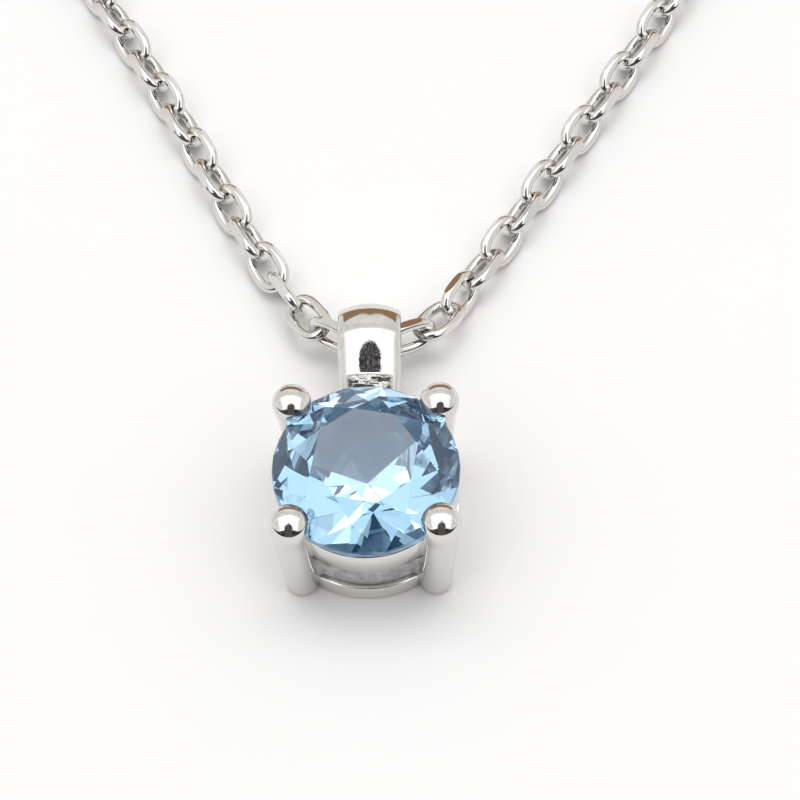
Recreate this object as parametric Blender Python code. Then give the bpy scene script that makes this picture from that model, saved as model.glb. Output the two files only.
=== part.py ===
"""A solitaire pendant on a cable chain, laid face up on a flat surface with its clasp open.

The stone's axis is Z, the surface is z = 0, and the chain leaves the pendant towards +Y.
Lengths are in metres. The chain's first links are separate pieces, and the rest of each
side is a tube that leads into a ring-shaped solid, the outer shape of its wound turns.
"""

import math

import bmesh
import bpy
from mathutils import Matrix, Vector

MM = 0.001
FIT_GAP = 0.03 * MM  # between two pieces that touch

# Stone: a round brilliant
STONE_RADIUS = 3.0 * MM
STONE_TABLE_RADIUS = 0.57 * STONE_RADIUS
STONE_STAR_RADIUS = 0.77 * STONE_RADIUS
STONE_LOWER_HALF_RADIUS = 0.6 * STONE_RADIUS
STONE_TURN = math.radians(12)
GIRDLE_BOTTOM = 3.25 * MM
GIRDLE_TOP = 3.5 * MM
CROWN_HEIGHT = 0.95 * MM
PAVILION_DEPTH = 2.35 * MM
GIRDLE_STEPS = 32

# Gallery: two rails with a wall between them, sunk to form windows
GALLERY_RADIUS = 2.97 * MM
GALLERY_BORE_RADIUS = 2.33 * MM
WINDOW_RADIUS = 2.68 * MM
WINDOW_HALF_ANGLE = math.radians(31)
LOWER_RAIL_TOP = 0.77 * MM
UPPER_RAIL_BOTTOM = 2.05 * MM
UPPER_RAIL_TOP = 3.14 * MM
RAIL_EDGE = 0.1 * MM
GALLERY_STEPS = 56

# Prongs: each leans a little outwards from its foot to its rounded head
PRONG_FOOT = Vector((2.16, 2.32)) * MM
PRONG_HEAD = Vector((2.36, 2.15)) * MM
PRONG_HEAD_HEIGHT = 3.9 * MM
PRONG_PROFILE = [
    (0.00, 0.01), (0.46, 0.02), (0.53, 0.1), (0.55, 0.35), (0.59, 3.2), (0.62, 3.55), (0.635, 3.88),
    (0.61, 4.08), (0.53, 4.28), (0.38, 4.42), (0.20, 4.49), (0.00, 4.5),
]  # radius and height, in mm
PRONG_STEPS = 16

# Bail: a band bent into a loop behind the gallery
BAIL_CENTRE_X = 0.04 * MM
BAIL_HALF_WIDTH = 1.05 * MM
BAIL_FOOT_HALF_WIDTH = 0.93 * MM
BAIL_THICKNESS = 0.38 * MM
BAIL_END = Vector((6.15, 1.35)) * MM  # y and z of the far bend's centre
BAIL_END_RADIUS = 1.05 * MM
BAIL_OUTER_SIDE = [
    (5.69, 2.53), (5.05, 2.4), (4.41, 2.04), (3.75, 1.58), (3.2, 1.28), (3.02, 0.95),
    (3.3, 0.62), (4.1, 0.4), (5.1, 0.31),
]  # y and z in mm, from the crest forwards, down the foot and back underneath
BAIL_STEPS = 36

# Chain
LINK_LENGTH = 2.08 * MM
LINK_WIDTH = 1.27 * MM
WIRE = 0.36 * MM
LINK_PITCH = 1.37 * MM
LINKS_A_SIDE = 16
LINK_ARC_STEPS = 6
CHAIN_DIAMETER = 1.25 * MM
CENTRE_ROLL = -5

# Each side's route, in mm, from the link in the bail to where it joins the wound turns
LEFT_ROUTE = [
    (0.05, 5.72, 1.35), (-1.12, 5.95, 1.33), (-2.0, 6.9, 0.97), (-2.75, 8.05, 0.72),
    (-3.48, 9.23, 0.56), (-4.85, 11.75, 0.52), (-6.1, 14.2, 0.52), (-7.42, 16.7, 0.52),
    (-8.75, 19.1, 0.52), (-10.1, 21.4, 0.52), (-11.35, 23.8, 0.54), (-12.32, 25.2, 0.6),
    (-13.61, 26.26, 0.63), (-15.3, 26.88, 0.63),
]
RIGHT_ROUTE = [
    (0.05, 5.72, 1.35), (1.22, 5.93, 1.33), (2.3, 6.72, 0.97), (3.03, 7.9, 0.7),
    (3.75, 9.02, 0.56), (4.5, 10.15, 0.52), (6.01, 12.56, 0.52), (7.51, 14.9, 0.52),
    (8.96, 17.22, 0.52), (10.36, 19.5, 0.52), (12.4, 23.0, 0.54), (13.39, 24.32, 0.6),
    (14.51, 25.36, 0.63), (16.2, 25.98, 0.63),
]
# Each link's turn about the chain, in degrees: 0 lies flat, 90 stands on edge
LEFT_ROLLS = [78, 17, 108, 33, 128, 40]
RIGHT_ROLLS = [75, 165, 60, 140, 42, 133]
SETTLED_ROLLS = [135, 45]

# Wound turns: two beside each other, on two layers
COIL_OUTER_TURN = 7.9 * MM
COIL_INNER_TURN = COIL_OUTER_TURN - CHAIN_DIAMETER
COIL_ENTRY_ANGLE = math.radians(250)
LEFT_COIL_CENTRE = Vector((-12.6, 34.3)) * MM
RIGHT_COIL_CENTRE = Vector((13.5, 33.4)) * MM
COIL_TURNS = 3.5
TAIL_BEND_RADIUS = 2.6 * MM

# Ends
JUMP_RING_RADIUS = 1.1 * MM
JUMP_RING_WIRE = 0.38 * MM
END_RING_RADIUS = 1.7 * MM
END_RING_WIRE = 0.5 * MM
EYE_RADIUS = 0.75 * MM
EYE_WIRE = 0.36 * MM
CLASP_RADIUS = 2.75 * MM
CLASP_TUBE = 1.3 * MM
CLASP_BORE = 0.92 * MM
CLASP_BOLT = 0.8 * MM
CLASP_GATE = (122, 178)  # degrees round the clasp, from its eye
CLASP_BORE_END = -30
CLASP_SLOT = (46, 119)
CLASP_TAB = 112
CLASP_SPRING = (-27, 5)
CLASP_HEIGHT = 0.66 * MM
SPRING_COILS = 7
SPRING_WIRE = 0.13 * MM

OWN_PIECES = ("stone", "prong", "gallery", "bail", "link", "centre_link")


def clear_scene():
    for item in list(bpy.data.objects):
        bpy.data.objects.remove(item, do_unlink=True)


def material(name, colour, roughness, metallic):
    made = bpy.data.materials.new(name)
    made.use_nodes = True
    shader = made.node_tree.nodes["Principled BSDF"]
    shader.inputs["Base Color"].default_value = (*colour, 1)
    shader.inputs["Roughness"].default_value = roughness
    shader.inputs["Metallic"].default_value = metallic
    return made


def mesh_from(name, points, faces, sharp_angle=30):
    """A closed mesh with its faces turned outwards, smooth but for edges over sharp_angle."""
    built = bmesh.new()
    corners = [built.verts.new(point) for point in points]
    for face in faces:
        built.faces.new([corners[i] for i in face])
    bmesh.ops.recalc_face_normals(built, faces=built.faces)
    mesh = bpy.data.meshes.new(name)
    built.to_mesh(mesh)
    built.free()
    mesh.shade_smooth()
    mesh.set_sharp_from_angle(angle=math.radians(sharp_angle))
    return mesh


def add_object(name, mesh, finish, parent, matrix=None):
    """An object with its origin at the parent's unless a matrix in the pendant's frame is given."""
    made = bpy.data.objects.new(name, mesh)
    bpy.context.scene.collection.objects.link(made)
    if finish is not None and not mesh.materials:
        mesh.materials.append(finish)
    made.parent = parent
    world = matrix if matrix is not None else Matrix.Identity(4)
    made.matrix_basis = Matrix.Translation(-place_of(parent)) @ world
    return made


def place_of(empty):
    """Where an empty lies in the pendant's frame: the sum of its own and its parents' offsets."""
    place = Vector((0, 0, 0))
    while empty is not None:
        place += empty.location
        empty = empty.parent
    return place


def add_pivot(name, parent, place):
    pivot = bpy.data.objects.new(name, None)
    pivot.empty_display_size = 0.5 * MM
    bpy.context.scene.collection.objects.link(pivot)
    pivot.parent = parent
    pivot.location = Vector(place) - place_of(parent)
    return pivot


def turned(name, profile, steps, sharp_angle=30):
    """A profile of (radius, height) turned about Z. Points at radius 0 become poles."""
    points = []
    rows = []
    for radius, height in profile:
        if radius < 1e-9:
            rows.append([len(points)] * steps)
            points.append((0, 0, height))
            continue
        rows.append(list(range(len(points), len(points) + steps)))
        for k in range(steps):
            angle = math.tau * k / steps
            points.append((radius * math.cos(angle), radius * math.sin(angle), height))
    ends = [(i, i + 1) for i in range(len(rows) - 1)]
    if profile[0][0] > 1e-9:
        ends.append((len(rows) - 1, 0))
    faces = []
    for low, high in ends:
        for k in range(steps):
            n = (k + 1) % steps
            face = [rows[low][k], rows[low][n], rows[high][n], rows[high][k]]
            faces.append(list(dict.fromkeys(face)))
    return mesh_from(name, points, faces, sharp_angle)


def swept(name, stations, closed, sharp_angle=30):
    """Joins rings of points, each with the same count, into a closed loop or a capped run."""
    count = len(stations[0])
    points = [point for station in stations for point in station]
    faces = []
    spans = len(stations) if closed else len(stations) - 1
    for i in range(spans):
        a = i * count
        b = ((i + 1) % len(stations)) * count
        for k in range(count):
            n = (k + 1) % count
            faces.append([a + k, a + n, b + n, b + k])
    if not closed:
        faces.append(list(range(count)))
        faces.append(list(range(len(points) - count, len(points))))
    return mesh_from(name, points, faces, sharp_angle)


def round_section(radius, sides, centre, out, up):
    """A ring of points about centre. It has a flat face towards out."""
    ring = []
    for k in range(sides):
        angle = math.tau * (k + 0.5) / sides
        ring.append(centre + radius * (math.cos(angle) * out + math.sin(angle) * up))
    return ring


def wire_ring(name, outer_radius, wire, steps=20, sides=8):
    """A ring of round wire in the XY plane about the origin."""
    stations = []
    for k in range(steps):
        angle = math.tau * k / steps
        out = Vector((math.cos(angle), math.sin(angle), 0))
        stations.append(
            round_section(wire / 2, sides, out * (outer_radius - wire / 2), out, Vector((0, 0, 1)))
        )
    return swept(name, stations, closed=True)


def curved_rod(name, bend_radius, radius, start, end, steps, sides=10):
    """A rod bent about Z between two angles in degrees."""
    stations = []
    for k in range(steps + 1):
        angle = math.radians(start + (end - start) * k / steps)
        out = Vector((math.cos(angle), math.sin(angle), 0))
        stations.append(round_section(radius, sides, out * bend_radius, out, Vector((0, 0, 1))))
    return swept(name, stations, closed=False)


def spline(points, per_span=12):
    """A smooth curve through the points, as closely spaced positions."""
    held = [Vector(p) * MM for p in points]
    held = [2 * held[0] - held[1]] + held + [2 * held[-1] - held[-2]]
    curve = []
    for a, b, c, d in zip(held, held[1:], held[2:], held[3:]):
        for k in range(per_span):
            t = k / per_span
            curve.append(
                0.5 * (2 * b + (c - a) * t + (2 * a - 5 * b + 4 * c - d) * t**2 + (3 * (b - c) + d - a) * t**3)
            )
    curve.append(held[-2])
    return curve


def along(curve, distance):
    """The position and direction at a distance along a curve."""
    for a, b in zip(curve, curve[1:]):
        step = (b - a).length
        if distance <= step:
            return a + (b - a) * (distance / step), (b - a).normalized()
        distance -= step
    return curve[-1].copy(), (curve[-1] - curve[-2]).normalized()


def cut(target, cutters):
    for cutter in cutters:
        cutter.hide_render = True
        cutter.display_type = "WIRE"
        modifier = target.modifiers.new("cut_" + cutter.name, "BOOLEAN")
        modifier.operation = "DIFFERENCE"
        modifier.solver = "EXACT"
        modifier.object = cutter


# Stone


def height_on_plane(a, b, c, x, y):
    normal = (b - a).cross(c - a)
    return a.z - (normal.x * (x - a.x) + normal.y * (y - a.y)) / normal.z


def brilliant_half(face_radius, halfway_radius, edge, tip):
    """One side of the stone: 8 kite facets from tip height to edge height, with 16 facets between.

    face_radius is the table's radius, or 0 for the point at the bottom. It returns the points
    and the faces, with the girdle's points first.
    """
    slope = (tip - edge) / (STONE_RADIUS - face_radius)
    girdle = []
    for k in range(GIRDLE_STEPS):
        angle = STONE_TURN + math.tau * k / GIRDLE_STEPS
        girdle.append(Vector((STONE_RADIUS * math.cos(angle), STONE_RADIUS * math.sin(angle), edge)))
    halfway = []
    for k in range(8):
        angle = STONE_TURN + math.tau * (k + 0.5) / 8
        reach = halfway_radius * math.cos(math.pi / 8)
        height = edge + slope * (STONE_RADIUS - reach)
        halfway.append(Vector((halfway_radius * math.cos(angle), halfway_radius * math.sin(angle), height)))
    quarter = GIRDLE_STEPS // 16
    faces = []
    for k in range(8):
        for half in range(2):
            first = (2 * k + half) * quarter
            last = (first + quarter) % GIRDLE_STEPS
            for j in range(1, quarter):
                middle = girdle[first + j]
                middle.z = height_on_plane(halfway[k], girdle[first], girdle[last], middle.x, middle.y)
            run = [(first + j) % GIRDLE_STEPS for j in range(quarter + 1)]
            faces.append(run + [GIRDLE_STEPS + k])
    points = girdle + halfway
    inner = len(points)
    if face_radius > 0:
        for k in range(8):
            angle = STONE_TURN + math.tau * k / 8
            points.append(Vector((face_radius * math.cos(angle), face_radius * math.sin(angle), tip)))
            faces.append([GIRDLE_STEPS + k, inner + (k + 1) % 8, inner + k])
            faces.append([2 * k * quarter, GIRDLE_STEPS + k, inner + k, GIRDLE_STEPS + (k - 1) % 8])
        faces.append([inner + k for k in range(8)])
    else:
        points.append(Vector((0, 0, tip)))
        for k in range(8):
            faces.append([2 * k * quarter, GIRDLE_STEPS + k, inner, GIRDLE_STEPS + (k - 1) % 8])
    return points, faces


def build_stone(parent, finish):
    crown, crown_faces = brilliant_half(
        STONE_TABLE_RADIUS, STONE_STAR_RADIUS, GIRDLE_TOP, GIRDLE_TOP + CROWN_HEIGHT
    )
    base, base_faces = brilliant_half(
        0, STONE_LOWER_HALF_RADIUS, GIRDLE_BOTTOM, GIRDLE_BOTTOM - PAVILION_DEPTH
    )
    shift = len(crown)
    faces = crown_faces + [[i + shift for i in face] for face in base_faces]
    for k in range(GIRDLE_STEPS):
        n = (k + 1) % GIRDLE_STEPS
        faces.append([k, n, shift + n, shift + k])
    add_object("stone", mesh_from("stone", crown + base, faces, sharp_angle=1), finish, parent)


# Setting


def prong_mesh(name, side_x, side_y, grow=0.0):
    profile = []
    for radius, height in PRONG_PROFILE:
        wider = radius * MM + grow if radius > 0 else 0
        profile.append((wider, height * MM))
    mesh = turned(name, profile, PRONG_STEPS)
    lean = (PRONG_HEAD - PRONG_FOOT) / PRONG_HEAD_HEIGHT
    for vertex in mesh.vertices:
        vertex.co.x += side_x * (PRONG_FOOT.x + lean.x * vertex.co.z)
        vertex.co.y += side_y * (PRONG_FOOT.y + lean.y * vertex.co.z)
    return mesh


def seat_cutter(parent):
    """The stone's outline with the fit gap, which notches the prongs."""
    reach = STONE_RADIUS + FIT_GAP
    profile = [
        (0, GIRDLE_BOTTOM - PAVILION_DEPTH - FIT_GAP),
        (reach, GIRDLE_BOTTOM - FIT_GAP),
        (reach, GIRDLE_TOP + FIT_GAP),
        (STONE_TABLE_RADIUS, GIRDLE_TOP + CROWN_HEIGHT + 2 * FIT_GAP),
        (0, GIRDLE_TOP + CROWN_HEIGHT + 2 * FIT_GAP),
    ]
    return add_object("seat_cutter", turned("seat_cutter", profile, 64), None, parent)


def build_prongs(parent, finish):
    """Four prongs, and a slightly wider cutter of each leg for the rails."""
    seat = seat_cutter(parent)
    leg_cutters = []
    for row, side_y in (("front", -1), ("rear", 1)):
        for side, side_x in (("left", -1), ("right", 1)):
            name = f"prong_{row}_{side}"
            prong = add_object(name, prong_mesh(name, side_x, side_y), finish, parent)
            cut(prong, [seat])
            wider = prong_mesh(name + "_cutter", side_x, side_y, grow=FIT_GAP)
            leg_cutters.append(add_object(name + "_cutter", wider, None, parent))
    return leg_cutters


def build_gallery(parent, finish, leg_cutters):
    seat_slope = PAVILION_DEPTH / STONE_RADIUS
    seat_low = 2.42 * MM
    seat_high = 2.9 * MM
    upper = [
        (GALLERY_BORE_RADIUS, UPPER_RAIL_BOTTOM),
        (GALLERY_RADIUS - RAIL_EDGE / 2, UPPER_RAIL_BOTTOM),
        (GALLERY_RADIUS, UPPER_RAIL_BOTTOM + RAIL_EDGE / 2),
        (GALLERY_RADIUS, UPPER_RAIL_TOP - RAIL_EDGE),
        (seat_high + 0.02 * MM, UPPER_RAIL_TOP - 0.01 * MM),
        (seat_high, GIRDLE_BOTTOM - (STONE_RADIUS - seat_high) * seat_slope - 2 * FIT_GAP),
        (seat_low, GIRDLE_BOTTOM - (STONE_RADIUS - seat_low) * seat_slope - 2 * FIT_GAP),
        (GALLERY_BORE_RADIUS, UPPER_RAIL_TOP - 0.6 * MM),
    ]
    lower = [
        (GALLERY_BORE_RADIUS, RAIL_EDGE),
        (GALLERY_BORE_RADIUS + RAIL_EDGE, 0),
        (GALLERY_RADIUS - RAIL_EDGE / 2, 0),
        (GALLERY_RADIUS, RAIL_EDGE / 2),
        (GALLERY_RADIUS, LOWER_RAIL_TOP - RAIL_EDGE / 2),
        (GALLERY_RADIUS - RAIL_EDGE / 2, LOWER_RAIL_TOP),
        (GALLERY_BORE_RADIUS, LOWER_RAIL_TOP),
    ]
    for name, profile in (("gallery_upper_rail", upper), ("gallery_lower_rail", lower)):
        rail = add_object(name, turned(name, profile, GALLERY_STEPS), finish, parent)
        cut(rail, leg_cutters)


def wall_outline():
    """The wall's outer outline from above: sunk at the front and the sides, full by the prongs and behind."""
    middles = [-math.pi / 2, 0, math.pi]
    outline = []
    steps = 12
    for middle in (middles[0], middles[1], math.pi / 2, middles[2]):
        sunk = middle in middles
        radius = WINDOW_RADIUS if sunk else GALLERY_RADIUS
        for k in range(steps + 1):
            angle = middle - WINDOW_HALF_ANGLE + 2 * WINDOW_HALF_ANGLE * k / steps
            outline.append((radius, angle))
        post = math.pi / 2 - 2 * WINDOW_HALF_ANGLE
        for k in range(6):
            outline.append((GALLERY_RADIUS, middle + WINDOW_HALF_ANGLE + post * (k + 0.02) / 5.04))
    clean = []
    for radius, angle in outline:
        point = (radius * math.cos(angle), radius * math.sin(angle))
        if not clean or math.dist(point, clean[-1]) > 0.01 * MM:
            clean.append(point)
    return clean


def build_wall(parent, finish, leg_cutters):
    outline = wall_outline()
    low = LOWER_RAIL_TOP + FIT_GAP
    high = UPPER_RAIL_BOTTOM - FIT_GAP
    points = []
    for height in (low, high):
        for x, y in outline:
            points.append((x, y, height))
        for x, y in outline:
            scale = GALLERY_BORE_RADIUS / math.hypot(x, y)
            points.append((x * scale, y * scale, height))
    count = len(outline)
    faces = []
    for k in range(count):
        n = (k + 1) % count
        faces.append([k, n, n + 2 * count, k + 2 * count])
        faces.append([k + count, n + count, n + 3 * count, k + 3 * count])
        faces.append([k, n, n + count, k + count])
        faces.append([k + 2 * count, n + 2 * count, n + 3 * count, k + 3 * count])
    wall = add_object("gallery_wall", mesh_from("gallery_wall", points, faces), finish, parent)
    cut(wall, leg_cutters)


def bail_outline():
    """The loop's outer outline in the YZ plane, as closely spaced points."""
    far = []
    for degrees in (-90, -60, -30, 0, 30, 57):
        angle = math.radians(degrees)
        far.append(
            (
                BAIL_END.x / MM + BAIL_END_RADIUS / MM * math.cos(angle),
                BAIL_END.y / MM + BAIL_END_RADIUS / MM * math.sin(angle),
            )
        )
    corners = [(0, y, z) for y, z in far + BAIL_OUTER_SIDE]
    curve = spline(corners[-2:] + corners + corners[:2])
    return curve[24:-24]


def build_bail(parent, finish):
    outline = bail_outline()
    total = sum((b - a).length for a, b in zip(outline, outline[1:]))
    stations = []
    for k in range(BAIL_STEPS):
        place, heading = along(outline, total * k / BAIL_STEPS)
        inward = Vector((1, 0, 0)).cross(heading).normalized()
        back = min(1, max(0, (place.y / MM - 3.0) / 1.6))
        half = BAIL_FOOT_HALF_WIDTH + (BAIL_HALF_WIDTH - BAIL_FOOT_HALF_WIDTH) * back
        section = []
        for across, deep in (
            (-0.9, 0.1), (-0.55, 0.02), (0, 0), (0.55, 0.02), (0.9, 0.1), (1, 0.35),
            (0.98, 0.85), (0.8, 1), (-0.8, 1), (-0.98, 0.85), (-1, 0.35),
        ):
            side = Vector((BAIL_CENTRE_X + across * half, 0, 0))
            section.append(place + side + inward * deep * BAIL_THICKNESS)
        stations.append(section)
    bail = swept("bail", stations, closed=True, sharp_angle=50)
    add_object("bail", bail, finish, parent)


# Chain


def link_mesh():
    """One oval link, long in X and wide in Y, with flat outer faces."""
    bend = (LINK_WIDTH - WIRE) / 2
    straight = (LINK_LENGTH - LINK_WIDTH) / 2
    stations = []
    for end in (1, -1):
        for k in range(LINK_ARC_STEPS + 1):
            angle = math.radians(-90 + 180 * k / LINK_ARC_STEPS) + (0 if end > 0 else math.pi)
            out = Vector((math.cos(angle), math.sin(angle), 0))
            centre = Vector((end * straight, 0, 0)) + out * bend
            stations.append(round_section(WIRE / 2, 6, centre, out, Vector((0, 0, 1))))
    return swept("link", stations, closed=True, sharp_angle=40)


def link_matrix(place, heading, inner, roll):
    """A link centred on place, long in heading, its width turned by roll from inner towards up."""
    level = (inner - heading * inner.dot(heading)).normalized()
    upright = level.cross(heading).normalized()
    if upright.z < 0:
        upright = -upright
    angle = math.radians(roll)
    width = math.cos(angle) * level + math.sin(angle) * upright
    normal = heading.cross(width)
    turn = Matrix((heading, width, normal)).transposed()
    return Matrix.Translation(place) @ turn.to_4x4()


def build_side(side, route, rolls, start, finish, mesh):
    """One side's separate links. Each hangs from a pivot between it and the link before."""
    curve = spline(route)
    inward = 1 if side == "left" else -1
    pivot = start
    for k in range(1, LINKS_A_SIDE + 1):
        joint, _ = along(curve, (k - 0.5) * LINK_PITCH)
        after, _ = along(curve, (k + 0.5) * LINK_PITCH)
        place = (joint + after) / 2
        heading = (after - joint).normalized()
        inner = inward * heading.cross(Vector((0, 0, 1)))
        roll = rolls[k - 1] if k <= len(rolls) else SETTLED_ROLLS[(k + (side == "left")) % 2]
        name = f"link_{side}_{k:02d}"
        pivot = add_pivot(name + "_pivot", pivot, joint)
        add_object(name, mesh, finish, pivot, link_matrix(place, heading, inner, roll))
    return pivot, curve


def coil_frame(side):
    """The coil's centre and the direction its turns run in, 1 for anticlockwise."""
    if side == "left":
        return LEFT_COIL_CENTRE, -1
    return RIGHT_COIL_CENTRE, 1


def entry_angle(side):
    return COIL_ENTRY_ANGLE if side == "left" else math.pi - COIL_ENTRY_ANGLE


def tail_points(side):
    """The chain's last stretch: a bend from the inner turn towards the coil's middle."""
    centre, turn = coil_frame(side)
    leave = entry_angle(side) + turn * math.tau * COIL_TURNS
    hub_reach = COIL_INNER_TURN - TAIL_BEND_RADIUS
    hub = centre + hub_reach * Vector((math.cos(leave), math.sin(leave)))
    sweep = math.pi - math.acos(TAIL_BEND_RADIUS / hub_reach)
    clear = COIL_INNER_TURN - CHAIN_DIAMETER - 0.1 * MM
    points = []
    for k in range(41):
        angle = leave + turn * sweep * k / 40
        flat = hub + TAIL_BEND_RADIUS * Vector((math.cos(angle), math.sin(angle)))
        if (flat - centre).length < clear:
            points.append(Vector((flat.x, flat.y, CHAIN_DIAMETER / 2)))
    return points


def tube(name, points, finish, parent):
    data = bpy.data.curves.new(name, "CURVE")
    data.dimensions = "3D"
    data.bevel_depth = CHAIN_DIAMETER / 2
    data.bevel_resolution = 2
    data.use_fill_caps = True
    line = data.splines.new("POLY")
    line.points.add(len(points) - 1)
    for held, point in zip(line.points, points):
        held.co = (*point, 1)
    data.materials.append(finish)
    made = bpy.data.objects.new(name, data)
    bpy.context.scene.collection.objects.link(made)
    made.parent = parent
    made.location = -place_of(parent)
    return made


def spaced(points, gap):
    """The points thinned to about one for each gap along them, with both ends kept."""
    kept = [points[0]]
    for point in points[1:-1]:
        if (point - kept[-1]).length >= gap and (points[-1] - point).length >= gap / 2:
            kept.append(point)
    return kept + [points[-1]]


def build_rest(side, curve, pivot, finish):
    """The rest of one side: a run, the wound turns and the tail."""
    centre, _ = coil_frame(side)
    first = LINKS_A_SIDE * LINK_PITCH + LINK_LENGTH / 2 + 0.05 * MM
    clear = COIL_OUTER_TURN + CHAIN_DIAMETER + 0.1 * MM
    run = []
    travelled = 0
    for a, b in zip(curve, curve[1:]):
        travelled += (b - a).length
        if travelled > first and (b.xy - centre).length > clear:
            run.append(Vector((b.x, b.y, CHAIN_DIAMETER / 2)))
    tube(f"chain_run_{side}", spaced(run, 0.8 * CHAIN_DIAMETER), finish, pivot)
    inner = COIL_INNER_TURN - CHAIN_DIAMETER / 2
    outer = COIL_OUTER_TURN + CHAIN_DIAMETER / 2
    top = 2 * CHAIN_DIAMETER
    edge = CHAIN_DIAMETER / 3
    profile = [
        (inner + edge, 0), (outer - edge, 0), (outer, edge), (outer, top - edge),
        (outer - edge, top), (inner + edge, top), (inner, top - edge), (inner, edge),
    ]
    name = f"chain_coil_{side}"
    coil = turned(name, profile, 40)
    add_object(name, coil, finish, pivot, Matrix.Translation((centre.x, centre.y, 0)))
    points = tail_points(side)
    tube(f"chain_tail_{side}", spaced(points, 0.8 * CHAIN_DIAMETER), finish, pivot)
    return points[-1]


# Clasp and end ring


def clasp_body(name, parent, finish, matrix):
    bend = CLASP_RADIUS - CLASP_TUBE / 2
    body = curved_rod(name, bend, CLASP_TUBE / 2, CLASP_GATE[1], CLASP_GATE[0] + 360, 30)
    made = add_object(name, body, finish, parent, matrix)
    bore = curved_rod("clasp_bore_cutter", bend, CLASP_BORE / 2, CLASP_BORE_END, CLASP_GATE[0] + 4, 16, 8)
    socket = curved_rod("clasp_socket_cutter", bend, CLASP_BORE / 2, CLASP_GATE[1] - 6, CLASP_GATE[1] + 9, 3, 8)
    slot = curved_rod("clasp_slot_cutter", CLASP_RADIUS, 0.17 * MM, *CLASP_SLOT, 10, 4)
    for vertex in slot.vertices:
        reach = vertex.co.xy.length
        if reach > CLASP_RADIUS:
            vertex.co.xy *= (CLASP_RADIUS + 0.3 * MM) / reach
        else:
            vertex.co.xy *= (bend + 0.1 * MM) / reach
    cutters = []
    for mesh in (bore, socket, slot):
        cutters.append(add_object(mesh.name, mesh, None, parent, matrix))
    cut(made, cutters)
    return made


def clasp_bolt(parent, finish, matrix):
    """The sprung bolt that closes the gate, with its thumb tab as one body."""
    bend = CLASP_RADIUS - CLASP_TUBE / 2
    rod = curved_rod("clasp_bolt", bend, CLASP_BOLT / 2, 68, CLASP_GATE[1] + 4, 16, 8)
    bolt = add_object("clasp_bolt", rod, finish, parent, matrix)
    angle = math.radians(CLASP_TAB)
    out = Vector((math.cos(angle), math.sin(angle), 0))
    up = Vector((0, 0, 1))
    stations = []
    for reach, half in ((0.15, 0.13), (0.62, 0.13), (0.7, 0.17), (1.05, 0.2), (1.25, 0.13)):
        centre = out * (bend + reach * MM)
        stations.append(round_section(half * MM, 8, centre, out.cross(up), up))
    shape = swept("clasp_tab_shape", stations, closed=False)
    tab = add_object("clasp_tab_shape", shape, None, parent, matrix)
    tab.hide_render = True
    tab.display_type = "WIRE"
    join = bolt.modifiers.new("join_tab", "BOOLEAN")
    join.operation = "UNION"
    join.solver = "EXACT"
    join.object = tab


def clasp_spring(parent, finish, matrix):
    """The closing spring, modelled at the length it has when the gate is fully open."""
    bend = CLASP_RADIUS - CLASP_TUBE / 2
    coil_radius = CLASP_BORE / 2 - SPRING_WIRE / 2 - 0.04 * MM
    steps = SPRING_COILS * 10
    centres = []
    for k in range(steps + 1):
        angle = math.radians(CLASP_SPRING[0] + (CLASP_SPRING[1] - CLASP_SPRING[0]) * k / steps)
        phase = math.tau * k / 10
        out = Vector((math.cos(angle), math.sin(angle), 0))
        centres.append(out * (bend + coil_radius * math.cos(phase)) + Vector((0, 0, coil_radius * math.sin(phase))))
    stations = []
    for k, centre in enumerate(centres):
        heading = (centres[min(k + 1, steps)] - centres[max(k - 1, 0)]).normalized()
        hub_angle = math.atan2(centre.y, centre.x)
        hub = bend * Vector((math.cos(hub_angle), math.sin(hub_angle), 0))
        out = (centre - hub).normalized()
        out = (out - heading * out.dot(heading)).normalized()
        stations.append(round_section(SPRING_WIRE / 2, 5, centre, out, heading.cross(out)))
    add_object("clasp_spring", swept("clasp_spring", stations, closed=False), finish, parent, matrix)


def build_clasp(pivot, tail_end, finish):
    """A jump ring, then the clasp on its eye, in line from the tail's end through the coil's middle."""
    to_middle = (LEFT_COIL_CENTRE - tail_end.xy).normalized()
    heading = Vector((to_middle.x, to_middle.y, 0))

    def at(distance, height):
        return Vector((tail_end.x, tail_end.y, 0)) + heading * distance + Vector((0, 0, height))

    ring_middle = 0.05 * MM + JUMP_RING_RADIUS
    ring_pivot = add_pivot("jump_ring_pivot", pivot, at(0.03 * MM, CLASP_HEIGHT))
    ring_mesh = wire_ring("jump_ring", JUMP_RING_RADIUS, JUMP_RING_WIRE)
    height = EYE_RADIUS + 0.02 * MM
    add_object("jump_ring", ring_mesh, finish, ring_pivot, Matrix.Translation(at(ring_middle, height)))

    crossing = ring_middle + JUMP_RING_RADIUS - JUMP_RING_WIRE / 2
    eye_middle = crossing + 0.11 * MM
    clasp_pivot = add_pivot("clasp_pivot", ring_pivot, at(crossing, CLASP_HEIGHT))
    turn = heading.to_track_quat("X", "Z").to_matrix().to_4x4()
    eye_turn = turn @ Matrix.Rotation(math.pi / 2, 4, "X")
    eye_mesh = wire_ring("clasp_eye", EYE_RADIUS, EYE_WIRE, steps=16)
    add_object("clasp_eye", eye_mesh, finish, clasp_pivot, Matrix.Translation(at(eye_middle, height)) @ eye_turn)

    middle = at(eye_middle + EYE_RADIUS + FIT_GAP + CLASP_RADIUS, CLASP_HEIGHT)
    frame = Matrix.Translation(middle) @ turn @ Matrix.Rotation(math.pi, 4, "Z")
    clasp_body("clasp_body", clasp_pivot, finish, frame)
    clasp_spring(clasp_pivot, finish, frame)
    bolt_pivot = add_pivot("clasp_bolt_pivot", clasp_pivot, middle)
    clasp_bolt(bolt_pivot, finish, frame)


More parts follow.
